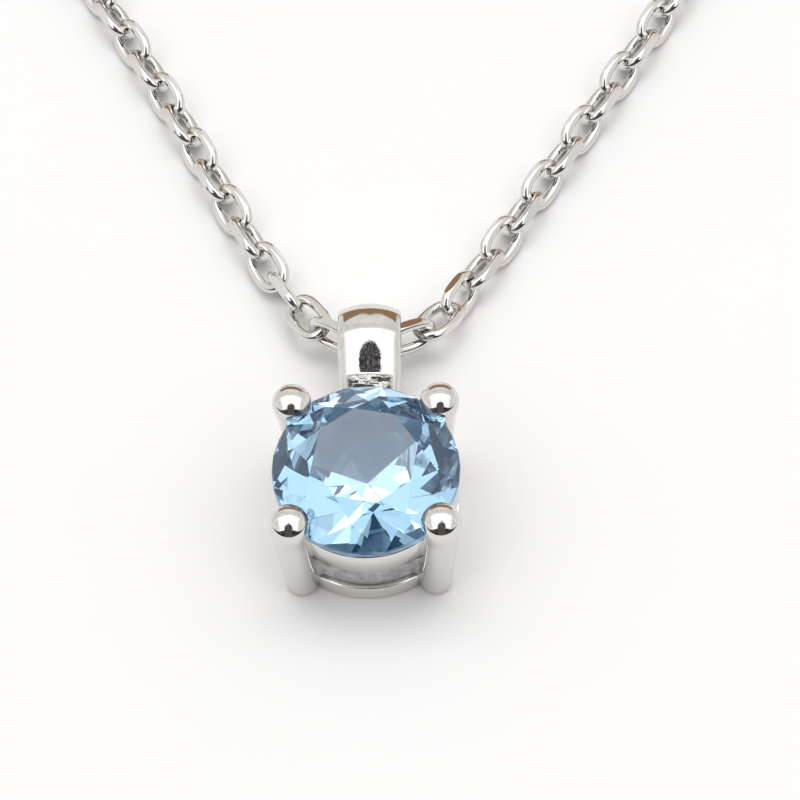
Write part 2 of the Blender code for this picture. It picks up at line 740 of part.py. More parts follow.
def build_end_ring(pivot, tail_end, finish):
    to_middle = (RIGHT_COIL_CENTRE - tail_end.xy).normalized()
    heading = Vector((to_middle.x, to_middle.y, 0))
    near = tail_end + heading * 0.03 * MM
    middle = tail_end + heading * (0.05 * MM + END_RING_RADIUS)
    ring_pivot = add_pivot("end_ring_pivot", pivot, near)
    mesh = wire_ring("end_ring", END_RING_RADIUS, END_RING_WIRE, steps=24)
    add_object("end_ring", mesh, finish, ring_pivot, Matrix.Translation(middle))


def stand_at_origin(frame):
    """Moves everything so that the pendant and its separate links stand about the origin."""
    bpy.context.view_layer.update()
    graph = bpy.context.evaluated_depsgraph_get()
    own = []
    for item in bpy.context.scene.objects:
        if item.hide_render or not item.name.startswith(OWN_PIECES) or item.type != "MESH":
            continue
        shaped = item.evaluated_get(graph)
        own += [shaped.matrix_world @ vertex.co for vertex in shaped.data.vertices]
    low = [min(point[axis] for point in own) for axis in range(3)]
    high = [max(point[axis] for point in own) for axis in range(3)]
    frame.location = (-(low[0] + high[0]) / 2, -(low[1] + high[1]) / 2, -low[2])


def build():
    clear_scene()
    silver = material("polished_silver", (0.86, 0.85, 0.83), 0.12, 1.0)
    cast_silver = material("cast_silver", (0.62, 0.61, 0.6), 0.5, 1.0)
    blue = material("blue_stone", (0.22, 0.5, 0.8), 0.03, 0.0)
    frame = add_pivot("necklace_frame", None, (0, 0, 0))

    build_stone(frame, blue)
    leg_cutters = build_prongs(frame, silver)
    build_gallery(frame, silver, leg_cutters)
    build_wall(frame, cast_silver, leg_cutters)
    build_bail(frame, silver)

    swing = add_pivot("bail_swing", frame, (0, BAIL_END.x - 0.2 * MM, BAIL_END.y))
    link = link_mesh()
    left_joint, _ = along(spline(LEFT_ROUTE), LINK_PITCH / 2)
    right_joint, _ = along(spline(RIGHT_ROUTE), LINK_PITCH / 2)
    heading = (right_joint - left_joint).normalized()
    matrix = link_matrix((left_joint + right_joint) / 2, heading, Vector((0, 1, 0)), CENTRE_ROLL)
    add_object("centre_link", link, silver, swing, matrix)
    for side, route, rolls in (("left", LEFT_ROUTE, LEFT_ROLLS), ("right", RIGHT_ROUTE, RIGHT_ROLLS)):
        last, curve = build_side(side, route, rolls, swing, silver, link)
        end, _ = along(curve, (LINKS_A_SIDE + 0.5) * LINK_PITCH)
        rest = add_pivot(f"chain_rest_{side}_pivot", last, end)
        tail_end = build_rest(side, curve, rest, silver)
        if side == "left":
            build_clasp(rest, tail_end, silver)
        else:
            build_end_ring(rest, tail_end, silver)
    stand_at_origin(frame)


build()
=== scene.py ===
import math

import bmesh
import bpy
import numpy as np
from mathutils import Matrix, Vector


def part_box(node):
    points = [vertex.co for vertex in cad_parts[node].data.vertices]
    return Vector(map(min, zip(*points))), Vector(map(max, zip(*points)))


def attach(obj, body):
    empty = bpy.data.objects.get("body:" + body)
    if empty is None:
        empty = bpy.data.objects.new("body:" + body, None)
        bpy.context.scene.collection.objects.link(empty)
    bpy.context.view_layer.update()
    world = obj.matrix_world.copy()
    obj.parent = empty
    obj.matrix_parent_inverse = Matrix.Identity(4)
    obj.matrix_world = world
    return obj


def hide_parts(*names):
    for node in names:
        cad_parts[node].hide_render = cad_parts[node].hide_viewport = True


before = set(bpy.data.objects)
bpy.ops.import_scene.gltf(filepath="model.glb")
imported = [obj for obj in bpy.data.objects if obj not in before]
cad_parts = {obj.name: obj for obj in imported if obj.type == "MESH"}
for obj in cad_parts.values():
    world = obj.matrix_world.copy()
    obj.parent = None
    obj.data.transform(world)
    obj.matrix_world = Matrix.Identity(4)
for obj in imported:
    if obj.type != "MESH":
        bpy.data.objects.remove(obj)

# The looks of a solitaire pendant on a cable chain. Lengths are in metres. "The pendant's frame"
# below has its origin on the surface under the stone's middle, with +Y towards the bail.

MM = 0.001
UP = Vector((0, 0, 1))
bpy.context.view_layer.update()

# Camera, in the pendant's frame
CAMERA_TARGET = Vector((1.09, 2.46, 3.5)) * MM
CAMERA_DISTANCE = 80 * MM
CAMERA_ELEVATION = math.radians(61.5)
CAMERA_AZIMUTH = math.radians(2.3)
CAMERA_ROLL = math.radians(2.8)
CAMERA_LENS = 111.8

# Stone, which is the CAD node, and the pendant's frame that is found from it
STONE_RADIUS = 3.0 * MM
GIRDLE_BOTTOM = 3.25 * MM
GIRDLE_TOP = 3.5 * MM
CROWN_TOP = 4.45 * MM
CROWN_TABLE_RADIUS = 1.71 * MM
PAVILION_DEPTH = 2.35 * MM
FIT_GAP = 0.03 * MM

STONE_LOW, STONE_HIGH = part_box("stone")
STONE_MIDDLE = (STONE_LOW + STONE_HIGH) / 2
ORIGIN = Vector((STONE_MIDDLE.x, STONE_MIDDLE.y, STONE_LOW.z - (GIRDLE_BOTTOM - PAVILION_DEPTH)))
TO_FRAME = Matrix.Translation(ORIGIN)

# Gallery
GALLERY_RADIUS = 2.97 * MM
GALLERY_BORE_RADIUS = 2.33 * MM
WINDOW_RADIUS = 2.8 * MM
WINDOW_HALF_ANGLE = math.radians(31)
WINDOW_STEP = math.radians(1.5)  # over which the wall comes back out
WINDOW_MIDDLES = (-math.pi / 2, 0, math.pi)
LOWER_RAIL_TOP = 0.77 * MM
UPPER_RAIL_BOTTOM = 2.05 * MM
UPPER_RAIL_TOP = 3.14 * MM

# Prongs, with each profile point a radius and a height in mm
PRONG_FOOT = Vector((2.16, 2.32)) * MM
PRONG_HEAD = Vector((2.36, 2.15)) * MM
PRONG_HEAD_HEIGHT = 3.9 * MM
PRONG_PROFILE = [
    (0.46, 0.02), (0.53, 0.1), (0.55, 0.35), (0.57, 1.8), (0.585, 3.1), (0.61, 3.5), (0.634, 3.8),
    (0.632, 4.0), (0.607, 4.13), (0.547, 4.24), (0.447, 4.335), (0.316, 4.405), (0.164, 4.448),
    (0.0, 4.462),
]

# Bail, with each outline point a y and a z in mm
BAIL_CENTRE_X = 0.04 * MM
BAIL_HALF_WIDTH = 1.05 * MM
BAIL_FOOT_HALF_WIDTH = 0.93 * MM
BAIL_THICKNESS = 0.38 * MM
BAIL_CROWN_RADIUS = 2.3 * MM  # of the band's face across its width
BAIL_END = Vector((6.15, 1.35))
BAIL_END_RADIUS = 1.05
BAIL_OUTER_SIDE = [
    (6.42, 2.385), (5.72, 2.54), (5.05, 2.4), (4.41, 2.04), (4.1, 1.9), (3.65, 1.72), (3.2, 1.4),
    (3.02, 0.95), (3.3, 0.62), (4.1, 0.4), (5.1, 0.31),
]

# Chain
LINK_LENGTH = 2.08 * MM
LINK_WIDTH = 1.27 * MM
WIRE = 0.38 * MM
LINK_PITCH = 1.37 * MM
LINK_ROUNDNESS = 2.5  # 2 is an ellipse, more is squarer
LINK_FLAT = 0.065 * MM  # how deep the flats are cut into the links' sides
LINKS_A_SIDE = 16
CHAIN_DIAMETER = 1.25 * MM
SETTLED_ROLLS = [135, 45]
LEFT_ROUTE = [
    (0.05, 5.72, 1.35), (-1.12, 5.95, 1.33), (-2.0, 6.9, 0.97), (-2.75, 8.05, 0.72),
    (-3.48, 9.23, 0.56), (-4.85, 11.75, 0.52), (-6.1, 14.2, 0.52), (-7.42, 16.7, 0.52),
    (-8.75, 19.1, 0.52), (-10.1, 21.4, 0.52), (-11.35, 23.8, 0.54), (-12.32, 25.2, 0.6),
    (-13.61, 26.26, 0.63), (-15.3, 26.88, 0.63),
]
RIGHT_ROUTE = [
    (0.05, 5.72, 1.35), (1.22, 5.93, 1.33), (2.3, 6.72, 0.97), (3.03, 7.9, 0.7),
    (3.75, 9.02, 0.56), (4.5, 10.15, 0.52), (6.01, 12.56, 0.52), (7.51, 14.9, 0.52),
    (8.96, 17.22, 0.52), (10.36, 19.5, 0.52), (12.4, 23.0, 0.54), (13.39, 24.32, 0.6),
    (14.51, 25.36, 0.63), (16.2, 25.98, 0.63),
]
OUTER_TURN = 7.9 * MM
INNER_TURN = OUTER_TURN - CHAIN_DIAMETER
LOW_LAYER = CHAIN_DIAMETER / 2
HIGH_LAYER = 3 * CHAIN_DIAMETER / 2
COIL_ENTRY = {"left": 250, "right": -70}
COIL_CENTRE = {"left": Vector((-12.6, 34.3)) * MM, "right": Vector((13.5, 33.4)) * MM}
COIL_TURNS = 3.5
TAIL_BEND_RADIUS = 2.6 * MM

# Clasp and rings
CLASP_RADIUS = 2.75 * MM
CLASP_TUBE = 1.3 * MM
CLASP_BORE = 0.92 * MM
CLASP_BOLT = 0.8 * MM
CLASP_GATE = (122, 178)
CLASP_BORE_END = -30
CLASP_SLOT = (46, 119)
CLASP_TAB = 112
CLASP_SPRING = (-27, 5)
CLASP_HEIGHT = 0.66 * MM
SPRING_COILS = 7
SPRING_WIRE = 0.13 * MM
EYE_RADIUS = 0.75 * MM
EYE_WIRE = 0.36 * MM
JUMP_RING_RADIUS = 1.1 * MM
JUMP_RING_WIRE = 0.38 * MM
END_RING_RADIUS = 1.7 * MM
END_RING_WIRE = 0.5 * MM

# Floor and metal
FLOOR_HALF_SIDE = 5.0
SILVER = (0.72, 0.705, 0.685)


# Meshes


def mesh_from(name, points, faces, sharp_angle=30):
    """A closed mesh with its faces turned outwards, smooth but for edges over sharp_angle."""
    built = bmesh.new()
    corners = [built.verts.new(point) for point in points]
    for face in faces:
        built.faces.new([corners[i] for i in face])
    return finished(name, built, sharp_angle)


def finished(name, built, sharp_angle=30):
    bmesh.ops.recalc_face_normals(built, faces=built.faces)
    mesh = bpy.data.meshes.new(name)
    built.to_mesh(mesh)
    built.free()
    mesh.shade_smooth()
    mesh.set_sharp_from_angle(angle=math.radians(sharp_angle))
    return mesh


def turned(name, profile, steps, sharp_angle=30):
    """A profile of (radius, height) turned about Z. Points at radius 0 become poles."""
    points = []
    rows = []
    for radius, height in profile:
        if radius < 1e-9:
            rows.append([len(points)] * steps)
            points.append((0, 0, height))
            continue
        rows.append(list(range(len(points), len(points) + steps)))
        for k in range(steps):
            angle = math.tau * k / steps
            points.append((radius * math.cos(angle), radius * math.sin(angle), height))
    ends = [(i, i + 1) for i in range(len(rows) - 1)]
    if profile[0][0] > 1e-9:
        ends.append((len(rows) - 1, 0))
    faces = []
    for low, high in ends:
        for k in range(steps):
            n = (k + 1) % steps
            face = [rows[low][k], rows[low][n], rows[high][n], rows[high][k]]
            faces.append(list(dict.fromkeys(face)))
    return mesh_from(name, points, faces, sharp_angle)


def swept(name, stations, closed, sharp_angle=30):
    """Joins rings of points, each with the same count, into a closed loop or a capped run."""
    count = len(stations[0])
    points = [point for station in stations for point in station]
    faces = []
    spans = len(stations) if closed else len(stations) - 1
    for i in range(spans):
        a = i * count
        b = ((i + 1) % len(stations)) * count
        for k in range(count):
            n = (k + 1) % count
            faces.append([a + k, a + n, b + n, b + k])
    if not closed:
        faces.append(list(range(count)))
        faces.append(list(range(len(points) - count, len(points))))
    return mesh_from(name, points, faces, sharp_angle)


def round_section(radius, sides, centre, out, up):
    ring = []
    for k in range(sides):
        angle = math.tau * (k + 0.5) / sides
        ring.append(centre + radius * (math.cos(angle) * out + math.sin(angle) * up))
    return ring


def wire_ring(name, outer_radius, wire, steps=64, sides=20):
    stations = []
    for k in range(steps):
        angle = math.tau * k / steps
        out = Vector((math.cos(angle), math.sin(angle), 0))
        centre = out * (outer_radius - wire / 2)
        stations.append(round_section(wire / 2, sides, centre, out, UP))
    return swept(name, stations, closed=True)


def curved_rod(name, bend_radius, radius, start, end, steps, sides=24, dome=0.0):
    """A rod bent about Z between two angles in degrees, with ends that close in over dome degrees."""
    stations = []
    for k in range(steps + 1):
        degrees = start + (end - start) * k / steps
        angle = math.radians(degrees)
        out = Vector((math.cos(angle), math.sin(angle), 0))
        size = radius
        if dome > 0:
            left = min(degrees - start, end - degrees)
            share = max(0.0, 1 - left / dome)
            size = radius * math.sqrt(max(0.02, 1 - share**2 * 0.9))
        stations.append(round_section(size, sides, out * bend_radius, out, UP))
    return swept(name, stations, closed=False)


def spline(points, per_span=12):
    """A smooth curve through points given in mm, as closely spaced positions."""
    held = [Vector(p) * MM for p in points]
    held = [2 * held[0] - held[1]] + held + [2 * held[-1] - held[-2]]
    curve = []
    for a, b, c, d in zip(held, held[1:], held[2:], held[3:]):
        for k in range(per_span):
            t = k / per_span
            pull = 2 * a - 5 * b + 4 * c - d
            curve.append(0.5 * (2 * b + (c - a) * t + pull * t**2 + (3 * (b - c) + d - a) * t**3))
    curve.append(held[-2])
    return curve


def along(curve, distance):
    """The position and direction at a distance along a curve."""
    for a, b in zip(curve, curve[1:]):
        step = (b - a).length
        if distance <= step:
            return a + (b - a) * (distance / step), (b - a).normalized()
        distance -= step
    return curve[-1].copy(), (curve[-1] - curve[-2]).normalized()


def add_piece(name, mesh, finish, body, nodes, matrix=None):
    """A piece with its place in its mesh, which rides on a body and stands for CAD nodes."""
    mesh.transform(TO_FRAME @ (matrix if matrix is not None else Matrix.Identity(4)))
    made = bpy.data.objects.new(name, mesh)
    bpy.context.scene.collection.objects.link(made)
    mesh.materials.clear()
    mesh.materials.append(finish)
    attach(made, body)
    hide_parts(*nodes)
    return made


def combined(mesh, others, operation="DIFFERENCE", sharp_angle=30):
    """The mesh with other meshes cut from it, or joined to it."""
    target = bpy.data.objects.new("target", mesh)
    bpy.context.scene.collection.objects.link(target)
    helpers = [target]
    for other in others:
        helper = bpy.data.objects.new("helper", other)
        bpy.context.scene.collection.objects.link(helper)
        helpers.append(helper)
        modifier = target.modifiers.new("boolean", "BOOLEAN")
        modifier.operation = operation
        modifier.solver = "EXACT"
        modifier.object = helper
    bpy.context.view_layer.update()
    shaped = bpy.data.meshes.new_from_object(target.evaluated_get(bpy.context.evaluated_depsgraph_get()))
    for helper in helpers:
        bpy.data.objects.remove(helper)
    shaped.name = mesh.name + "_shaped"
    shaped.shade_smooth()
    shaped.set_sharp_from_angle(angle=math.radians(sharp_angle))
    return shaped


# Camera


def make_camera():
    elevation = CAMERA_ELEVATION
    azimuth = CAMERA_AZIMUTH
    look = Vector(
        (
            -math.sin(azimuth) * math.cos(elevation),
            math.cos(azimuth) * math.cos(elevation),
            -math.sin(elevation),
        )
    )
    level = Vector((math.cos(azimuth), math.sin(azimuth), 0))
    upright = level.cross(look)
    right = level * math.cos(CAMERA_ROLL) - upright * math.sin(CAMERA_ROLL)
    up = level * math.sin(CAMERA_ROLL) + upright * math.cos(CAMERA_ROLL)
    data = bpy.data.cameras.new("camera")
    data.lens = CAMERA_LENS
    data.sensor_width = 36
    data.clip_start = 0.001
    data.clip_end = 10
    camera = bpy.data.objects.new("camera", data)
    bpy.context.scene.collection.objects.link(camera)
    place = ORIGIN + CAMERA_TARGET - look * CAMERA_DISTANCE
    camera.matrix_world = Matrix.Translation(place) @ Matrix((right, up, -look)).transposed().to_4x4()
    bpy.context.scene.camera = camera


# Materials


class Tree:
    """Shorthand for building a node tree."""

    def __init__(self, owner):
        owner.use_nodes = True
        self.nodes = owner.node_tree.nodes
        self.links = owner.node_tree.links

    def add(self, kind, inputs=None, **settings):
        node = self.nodes.new(kind)
        for key, value in settings.items():
            setattr(node, key, value)
        for key, value in (inputs or {}).items():
            self.set(node, key, value)
        return node

    def set(self, node, key, value):
        if isinstance(value, bpy.types.NodeSocket):
            self.links.new(value, node.inputs[key])
        else:
            node.inputs[key].default_value = value

    def math(self, operation, *values):
        node = self.add("ShaderNodeMath", operation=operation)
        for k, value in enumerate(values):
            self.set(node, k, value)
        return node.outputs[0]

    def span(self, value, low, high, start=0.0, end=1.0):
        """The value's share from low to high, turned into start to end."""
        node = self.add(
            "ShaderNodeMapRange",
            {"Value": value, "From Min": low, "From Max": high, "To Min": start, "To Max": end},
            interpolation_type="SMOOTHSTEP",
        )
        return node.outputs[0]

    def mix(self, share, first, second):
        node = self.add("ShaderNodeMix", data_type="RGBA")
        self.set(node, 0, share)
        self.set(node, 6, first)
        self.set(node, 7, second)
        return node.outputs[2]

    def noise(self, place, scale, detail=3.0, rough=0.5):
        node = self.add(
            "ShaderNodeTexNoise", {"Vector": place, "Scale": scale, "Detail": detail, "Roughness": rough}
        )
        return node.outputs["Fac"]


def silver(name, colour, low, high, bump=0.08, grain=900.0):
    """Polished white metal with fine wear: roughness that varies from low to high, and faint brushing."""
    made = bpy.data.materials.new(name)
    tree = Tree(made)
    shader = tree.nodes["Principled BSDF"]
    place = tree.add("ShaderNodeTexCoord").outputs["Object"]
    patches = tree.noise(place, grain, 4.0)
    lines = tree.add("ShaderNodeMapping", {"Vector": place, "Scale": (1.0, 0.12, 1.0)}).outputs[0]
    scratches = tree.noise(lines, grain * 14, 2.0, 0.6)
    roughness = tree.span(patches, 0.35, 0.7, low, high)
    tree.set(shader, "Base Color", (*colour, 1))
    tree.set(shader, "Metallic", 1.0)
    tree.set(shader, "Roughness", roughness)
    height = tree.add(
        "ShaderNodeBump", {"Height": scratches, "Strength": bump, "Distance": 0.004 * MM}
    ).outputs[0]
    tree.set(shader, "Normal", height)
    return made


def cast_silver():
    """The unpolished cast surface in the gallery's windows."""
    made = bpy.data.materials.new("cast_silver")
    tree = Tree(made)
    shader = tree.nodes["Principled BSDF"]
    place = tree.add("ShaderNodeTexCoord").outputs["Object"]
    lumps = tree.noise(place, 3200.0, 5.0, 0.65)
    tone = tree.mix(tree.span(lumps, 0.35, 0.65), (0.49, 0.48, 0.49, 1), (0.6, 0.59, 0.6, 1))
    tree.set(shader, "Base Color", tone)
    tree.set(shader, "Metallic", 1.0)
    tree.set(shader, "Roughness", tree.span(lumps, 0.3, 0.7, 0.75, 0.5))
    normal = tree.add("ShaderNodeBump", {"Height": lumps, "Strength": 0.6, "Distance": 0.04 * MM})
    tree.set(shader, "Normal", normal.outputs[0])
    return made


def bail_silver():
    """Polished metal with file marks where the bail is soldered to the gallery, and a painted dark
    reflection speckled over the same spot.
    """
    made = silver("bail_silver", SILVER, 0.02, 0.06, 0.04)
    tree = Tree(made)
    shader = tree.nodes["Principled BSDF"]
    place = tree.add("ShaderNodeTexCoord").outputs["Object"]
    parts = tree.add("ShaderNodeSeparateXYZ", {"Vector": place})
    filed_and_reflection_zone = tree.span(parts.outputs["Y"], ORIGIN.y + 4.34 * MM, ORIGIN.y + 4.22 * MM)
    off_centre = tree.math("ABSOLUTE", tree.math("SUBTRACT", parts.outputs["X"], ORIGIN.x + BAIL_CENTRE_X))
    filed_and_reflection_zone = tree.math("MULTIPLY", filed_and_reflection_zone, tree.span(off_centre, 0.8 * MM, 0.62 * MM))
    marks = tree.add("ShaderNodeMapping", {"Vector": place, "Scale": (0.16, 1.0, 1.0)}).outputs[0]
    lines = tree.noise(marks, 5200.0, 4.0, 0.7)
    filed = tree.math("MULTIPLY", lines, filed_and_reflection_zone)
    # Painted reflection: the dark speckled colour at the bail's foot stands in for the reflection of the
    # dark front. The bump and roughness are the file marks.
    dark = tree.math("MULTIPLY", tree.span(lines, 0.55, 0.48), filed_and_reflection_zone)
    tree.set(shader, "Base Color", tree.mix(dark, (*SILVER, 1), (0.06, 0.055, 0.055, 1)))
    old = shader.inputs["Normal"].links[0].from_socket
    bump = tree.add(
        "ShaderNodeBump", {"Height": filed, "Strength": 1.0, "Distance": 0.12 * MM, "Normal": old}
    )
    tree.set(shader, "Normal", bump.outputs[0])
    smooth = shader.inputs["Roughness"].links[0].from_socket
    tree.set(shader, "Roughness", tree.math("ADD", smooth, tree.math("MULTIPLY", filed_and_reflection_zone, 0.18)))
    return made


def stone_glass():
    made = bpy.data.materials.new("blue_stone")
    tree = Tree(made)
    shader = tree.nodes["Principled BSDF"]
    place = tree.add("ShaderNodeTexCoord").outputs["Object"]
    cloud = tree.noise(place, 500.0, 2.0)
    tree.set(shader, "Base Color", tree.mix(cloud, (0.33, 0.55, 0.72, 1), (0.36, 0.58, 0.74, 1)))
    height = tree.add("ShaderNodeSeparateXYZ", {"Vector": place}).outputs["Z"]
    above = tree.math("GREATER_THAN", height, ORIGIN.z + GIRDLE_BOTTOM - 0.01 * MM)
    below = tree.math("LESS_THAN", height, ORIGIN.z + GIRDLE_TOP + 0.01 * MM)
    tree.set(shader, "Roughness", tree.math("MULTIPLY", tree.math("MULTIPLY", above, below), 0.35))
    tree.set(shader, "IOR", 1.63)
    tree.set(shader, "Transmission Weight", 1.0)
    # Painted glow: a faint blue emission lifts the stone's dark facets to navy, though the stone is no
    # lamp.
    tree.set(shader, "Emission Color", (0.2, 0.5, 1.0, 1))
    tree.set(shader, "Emission Strength", 0.02)
    return made


# Pieces


def prong_mesh(name, side_x, side_y, grow=0.0, steps=56):
    outline = spline([(0, radius, height) for radius, height in PRONG_PROFILE[:-1]], 5)
    profile = [(0.0, PRONG_PROFILE[0][1] * MM - grow)]
    profile += [(point.y + grow, point.z) for point in outline]
    profile.append((0.0, PRONG_PROFILE[-1][1] * MM + grow))
    mesh = turned(name, profile, steps, 40)
    lean = (PRONG_HEAD - PRONG_FOOT) / PRONG_HEAD_HEIGHT
    for vertex in mesh.vertices:
        vertex.co.x += side_x * (PRONG_FOOT.x + lean.x * vertex.co.z)
        vertex.co.y += side_y * (PRONG_FOOT.y + lean.y * vertex.co.z)
    return mesh


def seat_mesh():
    reach = STONE_RADIUS + FIT_GAP
    profile = [
        (0, GIRDLE_BOTTOM - PAVILION_DEPTH - FIT_GAP),
        (reach, GIRDLE_BOTTOM - FIT_GAP),
        (reach, GIRDLE_TOP + FIT_GAP),
        (CROWN_TABLE_RADIUS, CROWN_TOP + 2 * FIT_GAP),
        (0, CROWN_TOP + 2 * FIT_GAP),
    ]
    return turned("seat", profile, 96)


def make_prongs(finish):
    for row, side_y in (("front", -1), ("rear", 1)):
        for side, side_x in (("left", -1), ("right", 1)):
            name = f"prong_{row}_{side}"
            mesh = combined(prong_mesh(name, side_x, side_y), [seat_mesh()], sharp_angle=40)
            add_piece("polished_" + name, mesh, finish, "pendant", [name])


def leg_cutters():
    cutters = []
    for side_y in (-1, 1):
        for side_x in (-1, 1):
            cutters.append(prong_mesh("leg", side_x, side_y, -0.006 * MM, 56))
    return cutters


def make_gallery(finish, cast):
    slope = PAVILION_DEPTH / STONE_RADIUS
    seat_low = 2.42 * MM
    seat_high = 2.9 * MM
    soft = 0.05 * MM
    upper = [
        (GALLERY_BORE_RADIUS, UPPER_RAIL_BOTTOM),
        (GALLERY_RADIUS - soft, UPPER_RAIL_BOTTOM),
        (GALLERY_RADIUS - 0.3 * soft, UPPER_RAIL_BOTTOM + 0.3 * soft),
        (GALLERY_RADIUS, UPPER_RAIL_BOTTOM + soft),
        (GALLERY_RADIUS, UPPER_RAIL_TOP - 2 * soft),
        (GALLERY_RADIUS - 0.3 * soft, UPPER_RAIL_TOP - soft),
        (seat_high + 0.02 * MM, UPPER_RAIL_TOP - 0.01 * MM),
        (seat_high, GIRDLE_BOTTOM - (STONE_RADIUS - seat_high) * slope - 2 * FIT_GAP),
        (seat_low, GIRDLE_BOTTOM - (STONE_RADIUS - seat_low) * slope - 2 * FIT_GAP),
        (GALLERY_BORE_RADIUS, UPPER_RAIL_TOP - 0.6 * MM),
    ]
    lower = [
        (GALLERY_BORE_RADIUS, 2 * soft),
        (GALLERY_BORE_RADIUS + 2 * soft, 0),
        (GALLERY_RADIUS - soft, 0),
        (GALLERY_RADIUS, soft),
        (GALLERY_RADIUS, LOWER_RAIL_TOP - soft),
        (GALLERY_RADIUS - 0.3 * soft, LOWER_RAIL_TOP - 0.3 * soft),
        (GALLERY_RADIUS - soft, LOWER_RAIL_TOP),
        (GALLERY_BORE_RADIUS, LOWER_RAIL_TOP),
    ]
    for name, profile in (("gallery_upper_rail", upper), ("gallery_lower_rail", lower)):
        mesh = combined(turned(name, profile, 168), leg_cutters())
        add_piece("polished_" + name, mesh, finish, "pendant", [name])
    mesh = combined(wall_mesh(), leg_cutters())
    add_piece("cast_gallery_wall", mesh, cast, "pendant", ["gallery_wall"])


def wall_mesh():
    """The wall between the rails, sunk and lumpy in its windows at the front and the sides."""
    rows = 9
    steps = 240
    low = LOWER_RAIL_TOP + FIT_GAP
    high = UPPER_RAIL_BOTTOM - FIT_GAP
    stations = []
    for k in range(steps):
        angle = math.tau * k / steps
        off_window = min(abs(math.remainder(angle - middle, math.tau)) for middle in WINDOW_MIDDLES)
        share = min(1, max(0, (off_window - WINDOW_HALF_ANGLE) / WINDOW_STEP))
        radius = WINDOW_RADIUS + (GALLERY_RADIUS - WINDOW_RADIUS) * share
        out = Vector((math.cos(angle), math.sin(angle), 0))
        ring = []
        for row in range(rows):
            height = low + (high - low) * row / (rows - 1)
            lump = 0.02 * MM * math.sin(37 * angle + 2.3 * row) * math.sin(23 * angle - 1.7 * row)
            edge = 0 if row in (0, rows - 1) else 1 - share
            ring.append(out * (radius + lump * edge) + Vector((0, 0, height)))
        ring.append(out * GALLERY_BORE_RADIUS + Vector((0, 0, high)))
        ring.append(out * GALLERY_BORE_RADIUS + Vector((0, 0, low)))
        stations.append(ring)
    return swept("gallery_wall", stations, closed=True)


def bail_outline():
    far = []
    for degrees in (-90, -60, -30, 0, 30, 57):
        angle = math.radians(degrees)
        rim = BAIL_END + BAIL_END_RADIUS * Vector((math.cos(angle), math.sin(angle)))
        far.append((rim.x, rim.y))
    corners = [(0, y, z) for y, z in far + BAIL_OUTER_SIDE]
    curve = spline(corners[-2:] + corners + corners[:2])
    return curve[24:-24]


def make_bail(finish):
    outline = bail_outline()
    total = sum((b - a).length for a, b in zip(outline, outline[1:]))
    across = [
        (-0.9, 0), (-0.75, 0), (-0.6, 0), (-0.45, 0), (-0.3, 0), (-0.15, 0), (0, 0), (0.15, 0), (0.3, 0),
        (0.45, 0), (0.6, 0), (0.75, 0), (0.9, 0), (0.96, 0.1), (0.99, 0.25), (1, 0.45), (0.99, 0.75),
        (0.96, 0.9), (0.86, 0.98), (0.7, 1), (-0.7, 1), (-0.86, 0.98), (-0.96, 0.9), (-0.99, 0.75),
        (-1, 0.45), (-0.99, 0.25), (-0.96, 0.1),
    ]  # a section's points: share of the half width, and share of the thickness inwards from the crown
    steps = 150
    stations = []
    for k in range(steps):
        place, _ = along(outline, total * k / steps)
        before, _ = along(outline, total * ((k - 0.7) % steps) / steps)
        after, _ = along(outline, total * ((k + 0.7) % steps) / steps)
        inward = Vector((1, 0, 0)).cross(after - before).normalized()
        back = min(1, max(0, (place.y / MM - 3.0) / 1.6))
        half = BAIL_FOOT_HALF_WIDTH + (BAIL_HALF_WIDTH - BAIL_FOOT_HALF_WIDTH) * back
        section = []
        for share, deep in across:
            side = Vector((BAIL_CENTRE_X + share * half, 0, 0))
            crown = BAIL_CROWN_RADIUS - math.sqrt(BAIL_CROWN_RADIUS**2 - (share * half) ** 2)
            section.append(place + side + inward * (crown + deep * (BAIL_THICKNESS - crown)))
        stations.append(section)
    mesh = swept("bail", stations, closed=True, sharp_angle=45)
    add_piece("polished_bail", mesh, finish, "pendant", ["bail"])


def link_mesh(name, arc_steps, sides):
    """An oval link, long in X and wide in Y, of round wire with a flat cut on each long side."""
    reach = (LINK_LENGTH - WIRE) / 2
    bulge = (LINK_WIDTH - WIRE) / 2 + LINK_FLAT
    centres = []
    for k in range(4 * arc_steps):
        angle = math.tau * (k + 0.5) / (4 * arc_steps)
        x = math.copysign(abs(math.cos(angle)) ** (2 / LINK_ROUNDNESS), math.cos(angle))
        y = math.copysign(abs(math.sin(angle)) ** (2 / LINK_ROUNDNESS), math.sin(angle))
        centres.append(Vector((reach * x, bulge * y, 0)))
    stations = []
    for k, centre in enumerate(centres):
        heading = centres[(k + 1) % len(centres)] - centres[k - 1]
        out = heading.cross(UP).normalized()
        stations.append(round_section(WIRE / 2, sides, centre, out, UP))
    built = bmesh.new()
    built.from_mesh(swept(name, stations, closed=True))
    for side in (1, -1):
        parts = list(built.verts) + list(built.edges) + list(built.faces)
        plane = Vector((0, side * LINK_WIDTH / 2, 0))
        cut = bmesh.ops.bisect_plane(
            built, geom=parts, dist=1e-8, plane_co=plane, plane_no=(0, side, 0), clear_outer=True
        )
        rim = [item for item in cut["geom_cut"] if isinstance(item, bmesh.types.BMEdge)]
        bmesh.ops.edgeloop_fill(built, edges=rim)
    return finished(name, built, 22)


def link_place(node):
    """A CAD link's middle and its long, wide and thin directions, from its own corners."""
    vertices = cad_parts[node].data.vertices
    corners = {tuple(round(value, 8) for value in vertex.co) for vertex in vertices}
    points = np.array(sorted(corners))
    middle = points.mean(0)
    _, directions = np.linalg.eigh(np.cov((points - middle).T))
    heading = Vector(directions[:, 2])
    width = Vector(directions[:, 1])
    turn = Matrix((heading, width, heading.cross(width))).transposed()
    return Matrix.Translation(Vector(middle)) @ turn.to_4x4()


